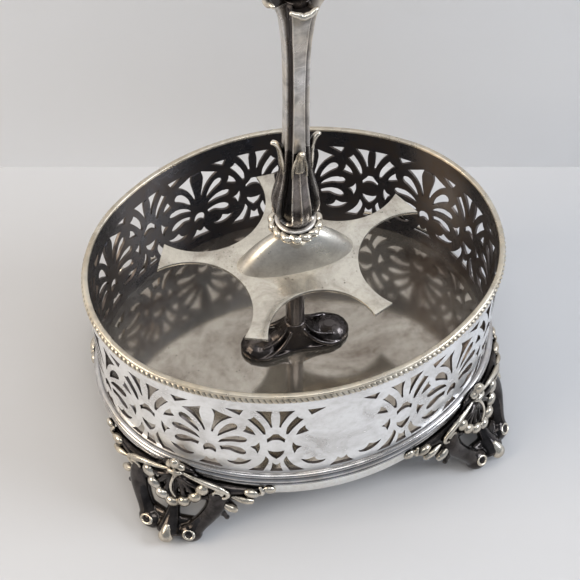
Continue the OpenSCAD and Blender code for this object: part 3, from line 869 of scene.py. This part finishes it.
def make_collar():
    """A ring of slanted gadroons."""
    z0, z1 = span("handle_collar")
    outer = high("handle_collar").x
    beads, lean = 14, 0.30
    r_mid = outer - 2.0
    shapes = []
    for i in range(beads):
        a = 2 * math.pi * i / beads
        path = [((r_mid - 1.1) * math.cos(a - lean), (r_mid - 1.1) * math.sin(a - lean), z1 - 0.75),
                ((r_mid + 0.15) * math.cos(a), (r_mid + 0.15) * math.sin(a), (z0 + z1) / 2 + 0.1),
                ((r_mid - 0.9) * math.cos(a + lean), (r_mid - 0.9) * math.sin(a + lean), z0 + 0.85)]
        shapes.append(tube(path, [1.3, 2.05, 1.4], 14, 0.35))
    gadroons = add_mesh("gadroon_ring", *joined(shapes), MATERIALS["ornament_silver"], 70)
    place(gadroons, "collar", "handle_silver")
    bore, edge = 3.25, r_mid - 0.3
    middle = (z0 + z1) / 2
    profile = [(bore, z0), (edge, z0)]
    profile += [(edge + 0.9 * math.cos(t), middle + 1.6 * math.sin(t)) for t in np.linspace(-1.3, 1.3, 9)]
    profile += [(r_mid - 1.2, z1), (bore, z1)]
    body = turned("collar_body", profile, MATERIALS["bulb_silver"], 96)
    return place(body, "collar", "handle_silver", "handle_collar")


def make_ring():
    """A plain ring with a half-round edge."""
    z0, z1 = span("handle_ring")
    bore, face, bead, bead_r = 3.4, 7.2, 7.75, 0.85
    middle = (z0 + z1) / 2 - 0.1
    profile = [(bore, z0), (face, z0)]
    turns = np.linspace(-1.4, 1.4, 11)
    profile += [(bead + bead_r * math.cos(t), middle + bead_r * math.sin(t)) for t in turns]
    profile += [(face, z1), (bore, z1)]
    obj = turned("plain_ring", profile, MATERIALS["handle_silver"], 96)
    return place(obj, "handle", "handle_silver", "handle_ring")


def make_bulb():
    """The swelling foot of the handle, and four curling leaves where it meets the stem."""
    z0, z1 = low("handle_bulb").z, low("handle_stem").z
    stations = [(z0, 6.7, 0.0, 0, 1.8, 0, 0), (z0 + 1.6, 7.3, 0.0, 0.5, 2.0, 0.3, 0),
                (z0 + 4.5, 8.6, 0.0, 1.5, 2.6, 0.5, 0.3), (z0 + 8.5, 9.4, 0.05, 2.1, 3.0, 0.6, 0.5),
                (z0 + 13, 9.15, 0.1, 2.3, 2.8, 0.6, 0.55), (z0 + 19, 7.9, 0.2, 2.2, 2.3, 0.55, 0.55),
                (z0 + 26, 6.5, 0.35, 2.0, 1.75, 0.45, 0.5), (z0 + 34, 5.5, 0.5, 2.0, 1.35, 0.35, 0.4),
                (z1, 5.0, 0.65, 1.9, 1.2, 0.2, 0.1)]
    body = fluted("bulb", stations, MATERIALS["bulb_silver"], z0 + 5.4)
    place(body, "handle", "handle_silver", "handle_bulb", "handle_bush")
    shapes = []
    curl = [(5.3, 33, 2.5), (5.7, 37.5, 2.3), (6.5, 41.5, 1.9), (7.7, 44.6, 1.5), (9.0, 45.9, 1.15),
            (9.9, 45.6, 0.6)]
    for a in spoke_angles(4):
        c, s = math.cos(a), math.sin(a)
        path = [(r * c, r * s, z0 + z) for r, z, _ in curl]
        shapes.append(tube(path, [bar for _, _, bar in curl], 16, 0.5, 0.6, (c, s, 0)))
        for side in (-1, 1):
            arch = [(5.7, 2.9, z0 + 30), (5.9, 2.7, z0 + 35), (6.2, 1.9, z0 + 39), (6.8, 1.0, z0 + 42)]
            shapes.append(tube([(r * c - side * w * s, r * s + side * w * c, z) for r, w, z in arch],
                               [0.45, 0.6, 0.65, 0.6], 10, 0.5))
    leaves = add_mesh("bulb_leaf_tips", *joined(shapes), MATERIALS["ornament_silver"], 70)
    return place(leaves, "handle", "handle_silver")


def make_stem():
    """The straight grooved length, run a little into its neighbours."""
    z0, z1 = span("handle_stem")
    stations = [(z0 - 0.4, 5.0, 0.65, 2.0, 1.2, 0.22, 0), (z0 + 6, 4.85, 0.65, 2.1, 1.25, 0.24, 0),
                (z0 + 20, 4.7, 0.65, 2.1, 1.3, 0.24, 0), (z0 + 34, 4.65, 0.65, 2.1, 1.3, 0.24, 0),
                (z1 + 0.4, 4.8, 0.65, 2.1, 1.3, 0.24, 0)]
    obj = fluted("stem", stations, MATERIALS["handle_silver"])
    return place(obj, "handle", "handle_silver", "handle_stem")


def make_crown():
    """The spreading top of the handle, with a leaf lip on each side."""
    z0, z1 = span("handle_crown")
    top = z0 + 29.6
    stations = [(z0, 4.8, 0.65, 2.1, 1.3, 0.22, 0), (z0 + 6, 5.0, 0.6, 2.1, 1.3, 0.24, 0),
                (z0 + 12, 5.5, 0.5, 2.2, 1.35, 0.26, 0), (z0 + 20, 6.5, 0.35, 2.6, 1.7, 0.3, 0),
                (z0 + 26, 8.2, 0.15, 3.6, 2.3, 0.32, 0), (top, 10.1, 0, 4.6, 2.9, 0.3, 0)]
    body = fluted("crown", stations, MATERIALS["handle_silver"])
    place(body, "handle", "handle_silver", "handle_crown")
    core_profile = [(0.4, top - 3), (5.6, top - 1.5), (5.2, top + 0.6), (4.2, z1), (0.4, z1)]
    core = turned("crown_core", core_profile, MATERIALS["pillar_silver"], 48)
    place(core, "handle", "handle_silver")
    shapes = []
    for a in spoke_angles(4):
        c, s = math.cos(a), math.sin(a)
        path, radii = [], []
        for w in np.linspace(-5.0, 5.0, 15):
            r = 8.8 + 2.0 * math.cos(math.pi * w / 12.4)
            z = top + 0.9 - 1.5 * math.cos(math.pi * w / 10) ** 2 + 0.12 * math.sin(2.2 * w)
            path.append((r * c - w * s, r * s + w * c, z))
            radii.append(0.6 + 0.72 * math.cos(math.pi * w / 10.6))
        shapes.append(tube(path, radii, 14, 0.4))
    leaves = add_mesh("crown_leaf_lips", *joined(shapes), MATERIALS["ornament_silver"], 70)
    return place(leaves, "handle", "handle_silver")


def make_grip():
    """The loop: a plain bar swelling at the sides, with leaf caps where it meets the crown and at the top."""
    z0, z1 = span("loop_grip")
    half_w = high("loop_grip").x
    bar = 3.1
    bend = half_w - bar - 0.3
    low_c, high_c = z0 + half_w, z1 - half_w
    turn = np.linspace(0, math.pi, 15)
    ring = [(bend * math.cos(t), 0, high_c + bend * math.sin(t)) for t in turn]
    ring += [(-bend * math.cos(t), 0, low_c - bend * math.sin(t)) for t in turn]
    radii = [bar * (0.82 + 0.16 * abs(math.cos(t))) for t in turn] * 2
    ring.append(ring[0])
    radii.append(radii[0])
    shapes = [tube(ring, radii, 24, 0.7)]
    low_leaf = [(1.2, z0 + 2.6, 3.0), (8.5, z0 + 3.6, 2.6), (14.5, z0 + 8.0, 2.3), (15.8, z0 + 12.0, 1.9),
                (13.2, z0 + 13.2, 1.4), (12.6, z0 + 11.2, 0.9)]
    high_leaf = [(1.2, z1 - 3.0, 2.6), (7.0, z1 - 4.6, 2.4), (11.5, z1 - 9.5, 2.0), (10.6, z1 - 12.6, 1.5),
                 (8.2, z1 - 11.6, 0.9)]
    for m in (-1, 1):
        for leaf in (low_leaf, high_leaf):
            shapes.append(tube([(m * x, 0, z) for x, z, _ in leaf], [bar_r for _, _, bar_r in leaf], 16, 0.6))
    shapes.append(ball((0, 0, z1 - 3.2), (3.6, 3.1, 2.9)))
    obj = add_mesh("grip", *joined(shapes), MATERIALS["handle_silver"])
    melt(obj, 0.42, 5)
    return place(obj, "handle", "handle_silver", "loop_grip")


# ---------------------------------------------------------------- feet


def volute(x, y, z, r, turns, start, side, bar):
    """A scroll's end: a bar that winds inwards, with its eye standing proud."""
    t = np.linspace(0, 2 * math.pi * turns, int(12 * turns) + 1)
    radius = r * (1 - 0.62 * t / t[-1])
    path = [(x + side * q * math.sin(start + a), y + 0.9 * a / t[-1], z + q * math.cos(start + a))
            for q, a in zip(radius, t)]
    return tube(path, list(np.linspace(bar, bar * 0.7, len(t))), 12, 0.4)


def toe_ring(m):
    """The raised ring round the dark eye of a side toe."""
    middle, facing = Vector((m * 7.8, 16.4, 4.9)), Vector((m * 0.12, 0.72, 0.68)).normalized()
    e1 = facing.cross(Vector((0, 0, 1))).normalized()
    e2 = facing.cross(e1)
    turns = np.linspace(0, 2 * math.pi, 17)
    ring = [middle + facing * 4.25 + 1.9 * (math.cos(t) * e1 + math.sin(t) * e2) for t in turns]
    return tube([tuple(p) for p in ring], [0.7] * len(ring), 10, 0.5)


def side_tube(m, path, *rest):
    """A tube on the right where m is 1, and its mirror image where m is -1."""
    return tube([(m * x, y, z) for x, y, z in path], *rest)


def foot_body():
    """The dark limbs, webs and toes; x sideways from the foot's middle, y out from the gallery, z up."""
    shapes = [
        tube([(0, 8.5, 20), (0, 11.0, 15.5), (0, 14.2, 11.0), (0, 17.0, 7.4), (0, 18.8, 5.2), (0, 19.6, 4.4)],
             [2.0, 2.4, 3.2, 4.2, 4.9, 4.5], 20),
        ball((0, 5.2, 30), (11.5, 2.6, 8.5)),
        ball((0, 4.6, 36.5), (7.5, 2.2, 3.4)),
    ]
    fan = ((-10.6, 7.4, 30), (-8, 8.6, 25), (-4.2, 9.8, 21.2), (0.2, 10.2, 19.6), (4.4, 9.8, 21.2),
           (8, 8.6, 25), (10.6, 7.4, 30))
    for x, y, z in fan:
        path = [(x * 0.2, 7.4, 34), (x * 0.6, 8.2, (34 + z) / 2 + 0.6), (x, y, z)]
        shapes.append(tube(path, [0.8, 1.2, 1.7], 10))
    limbs = [
        ([(16.2, 5.2, 28), (17.0, 6.8, 23.6), (16.2, 9.0, 18.8), (13.8, 11.4, 14.2), (11.0, 13.6, 10.0),
          (8.8, 15.4, 6.8), (7.8, 16.2, 5.6)], [4.2, 4.4, 4.1, 3.6, 3.5, 4.0, 4.6], 20),
        ([(12.4, 12.2, 10.6), (8.4, 12.8, 9.2), (4.0, 13.6, 9.2), (0, 14.2, 10.0)], [2.0, 2.3, 2.3, 2.0], 16),
        ([(8.0, 14.0, 6.4), (4.4, 15.6, 6.0), (1.0, 16.8, 6.0)], [3.8, 3.4, 3.2], 14),
        ([(4, 4.2, 31), (14, 4.6, 29.5), (26, 4.0, 28.8), (36, 3.4, 29.2)], [3.6, 3.4, 2.6, 1.4], 12),
        ([(1.5, 9.6, 21.4), (8, 8.4, 23.4), (16, 6.8, 25.6)], [1.7, 1.7, 2.2], 12),
        ([(14, 5.0, 27), (24, 5.0, 25.6), (31.4, 5.0, 24.2)], [2.8, 2.4, 1.2], 12),
        ([(15, 6.4, 23), (20, 6.6, 20.8), (24.6, 7.2, 18.0)], [2.6, 2.4, 1.2], 12),
        ([(15.6, 8.2, 18.6), (18.6, 8.8, 15.8), (21.0, 9.4, 13.4)], [2.3, 1.8, 0.9], 12),
    ]
    for m in (-1, 1):
        shapes += [side_tube(m, *limb) for limb in limbs]
        shapes += [ball((m * 7.8, 16.2, 5.3), (5.0, 4.8, 5.1)), ball((m * 21.2, 9.5, 12.8), (1.2, 1.2, 1.2))]
    return shapes


def foot_ornament():
    """The bright raised work: bow, scrolls, bead fan, florets and leaf tips, bright partly from polish and
    partly as painted highlight.
    """
    shapes = [
        ball((0, 6.9, 43.2), (2.1, 2.0, 3.1)),
        ball((-2.4, 6.6, 41.4), (2.2, 1.7, 1.5), 40),
        ball((2.4, 6.6, 41.4), (2.2, 1.7, 1.5), -40),
        ball((0, 7.9, 38.4), (3.5, 1.7, 1.4)),
        ball((0, 7.8, 35.6), (1.2, 1.2, 1.6)),
        tube([(0.2, 8.9, 35), (1.0, 10.4, 31), (0.6, 11.4, 27), (-1.2, 11.8, 23.5)],
             [0.75, 0.65, 0.6, 0.5], 8, 0.5),
        # A bright piece down the front of the middle toe: painted highlight.
        tube([(0, 19.0, 10.6), (0, 21.2, 7.8), (0, 22.1, 5.4), (0, 21.9, 3.8)],
             [0.9, 2.2, 2.9, 2.5], 16, 0.6),
        ball((-4.2, 11.0, 21.0), (2.9, 2.5, 3.1), 30),
        ball((0.4, 11.6, 19.2), (3.1, 2.6, 2.8)),
        ball((4.9, 11.0, 21.2), (2.9, 2.5, 3.1), -30),
    ]
    scrolls = [
        ([(2.4, 6.6, 37.0), (7, 7.1, 35.8), (13, 7.6, 34.8), (18, 7.9, 33.2), (21.0, 8.0, 31.2)],
         [0.8, 1.1, 1.55, 1.7, 1.3], 14, 0.6, 0.7, (0, 1, 0)),
        ([(34.4, 4.8, 33.4), (35.6, 5.8, 30.4), (34.2, 5.2, 27.6)], [0.7, 0.95, 0.7], 8, 0.5),
        ([(23, 6.9, 27.2), (28, 7.2, 26.0), (31.6, 6.6, 24.4)], [0.8, 1.8, 1.5], 12, 0.5),
        ([(19, 8.4, 22.8), (22.4, 8.8, 20.4), (25.0, 8.4, 18.2)], [0.8, 1.8, 1.4], 12, 0.5),
    ]
    for m in (-1, 1):
        shapes += [side_tube(m, *scroll) for scroll in scrolls]
        shapes += [
            ball((m * 8.6, 9.7, 25.0), (2.7, 2.4, 3.4), -m * 35),
            ball((m * 11.4, 8.2, 30.2), (2.9, 2.4, 3.6), -m * 20),
            ball((m * 31.2, 5.6, 29.4), (3.5, 2.0, 2.3), -m * 12),
            ball((m * 38.4, 4.4, 31.0), (2.8, 1.6, 2.3), -m * 20),
            volute(m * 18.4, 8.0, 29.4, 3.7, 1.05, 0.9, m, 1.0),
            toe_ring(m),
        ]
    return shapes


def cast_foot(name, shapes, voxel, smooth, material, nodes):
    """Melts shapes together once, and puts the casting at the four corners."""
    points, faces = joined(shapes)
    x, y = on_oval(FOOT_S + points[:, 0], points[:, 1])
    master = add_mesh(name, np.column_stack([x, y, points[:, 2]]), faces, MATERIALS[material])
    melt(master, voxel, smooth)
    clamp_floor(master, 0.0)
    corners = {"front_right": (1, 1), "front_left": (-1, 1), "back_right": (1, -1), "back_left": (-1, -1)}
    for corner, (sx, sy) in corners.items():
        mesh = master.data.copy()
        mesh.transform(Matrix.Diagonal((sx, sy, 1, 1)))
        if sx * sy < 0:
            mesh.flip_normals()
        obj = put(name + "_" + corner, mesh)
        place(obj, "base", "foot_silver", *(["foot_" + corner] if nodes else []))
    bpy.data.objects.remove(master)


def make_feet():
    cast_foot("foot_body", foot_body(), 0.42, 5, "foot_silver", True)
    cast_foot("foot_ornament", foot_ornament(), 0.36, 3, "ornament_silver", False)


# ---------------------------------------------------------------- stage, light and camera

# The camera stands here, looks this far down and to the right of straight ahead (degrees), and has this lens.
CAMERA = Vector((-105.1, -358.0, 556.4))
LOOK_DOWN = 52.4
LOOK_AZIMUTH = 16.02
LENS = 86.98345
SENSOR = 36
STAGE_HALF = 3000
WALL_HEIGHT = 2500
WALL_DISTANCE = 138.8


def plain(name, colour, rough):
    material = bpy.data.materials.new(name)
    material.use_nodes = True
    shader = material.node_tree.nodes["Principled BSDF"]
    shader.inputs["Base Color"].default_value = (*colour, 1)
    shader.inputs["Roughness"].default_value = rough
    return material




def one_sided(material):
    """Lets the wall be seen only from its front, so that it never hides the object from behind."""
    nodes, links = material.node_tree.nodes, material.node_tree.links
    clear, either = nodes.new("ShaderNodeBsdfTransparent"), nodes.new("ShaderNodeMixShader")
    links.new(nodes.new("ShaderNodeNewGeometry").outputs["Backfacing"], either.inputs["Fac"])
    links.new(nodes["Principled BSDF"].outputs["BSDF"], either.inputs[1])
    links.new(clear.outputs["BSDF"], either.inputs[2])
    links.new(either.outputs["Shader"], nodes["Material Output"].inputs["Surface"])
    return material


def make_stage():
    """The table, and a wall straight across the camera's view behind the object."""
    corners = [(x * STAGE_HALF, y * STAGE_HALF, 0) for x, y in ((-1, -1), (1, -1), (1, 1), (-1, 1))]
    add_mesh("stage_floor", corners, [(0, 1, 2, 3)], plain("stage_floor", (0.58, 0.58, 0.59), 0.6))
    a = math.radians(LOOK_AZIMUTH)
    ahead, right = Vector((math.sin(a), math.cos(a), 0)), Vector((math.cos(a), -math.sin(a), 0))
    up = Vector((0, 0, WALL_HEIGHT))
    left_foot, right_foot = [ahead * WALL_DISTANCE + side * right * STAGE_HALF for side in (-1, 1)]
    corners = [left_foot, right_foot, right_foot + up, left_foot + up]
    paint = one_sided(plain("stage_wall", (0.76, 0.765, 0.78), 0.7))
    add_mesh("stage_wall", corners, [(0, 1, 2, 3)], paint)


def area_light(name, position, size, power, colour):
    """A rectangular light, size metres, that shines from position at the object."""
    target = Vector((0, 0, 0.05))
    data = bpy.data.lights.new(name, "AREA")
    data.shape = "RECTANGLE"
    data.size, data.size_y = size
    data.energy = power
    data.color = colour
    obj = put(name, data)
    obj.location = Vector(position)
    obj.rotation_euler = (target - Vector(position)).to_track_quat("-Z", "Y").to_euler()


def make_lights():
    world = bpy.data.worlds.new("studio")
    bpy.context.scene.world = world
    world.use_nodes = True
    background = world.node_tree.nodes["Background"]
    background.inputs["Color"].default_value = (0.78, 0.87, 1.0, 1)
    background.inputs["Strength"].default_value = 0.32
    area_light("left_window", (-1.4, -0.1, 1.0), (0.9, 0.9), 18, (1.0, 0.87, 0.70))
    area_light("right_window", (1.3, -0.5, 1.0), (0.8, 0.8), 20, (0.88, 0.93, 1.0))
    area_light("ceiling", (0.0, -0.7, 1.7), (1.1, 0.7), 7, (1.0, 0.99, 0.97))
    bpy.context.scene.view_settings.view_transform = "Standard"


def make_camera():
    data = bpy.data.cameras.new("camera")
    data.sensor_width = SENSOR
    data.lens = LENS
    data.clip_start = 0.01
    obj = put("camera", data)
    obj.location = CAMERA * MM
    obj.rotation_euler = (math.radians(90 - LOOK_DOWN), 0, math.radians(-LOOK_AZIMUTH))
    bpy.context.scene.camera = obj


make_gallery()
make_rim()
make_rope()
make_moulding()
make_skirt()
make_tray()
make_plate()
make_boss()
make_pedestal()
make_rod()
make_collar()
make_ring()
make_bulb()
make_stem()
make_crown()
make_grip()
make_feet()
make_stage()
make_lights()
make_camera()
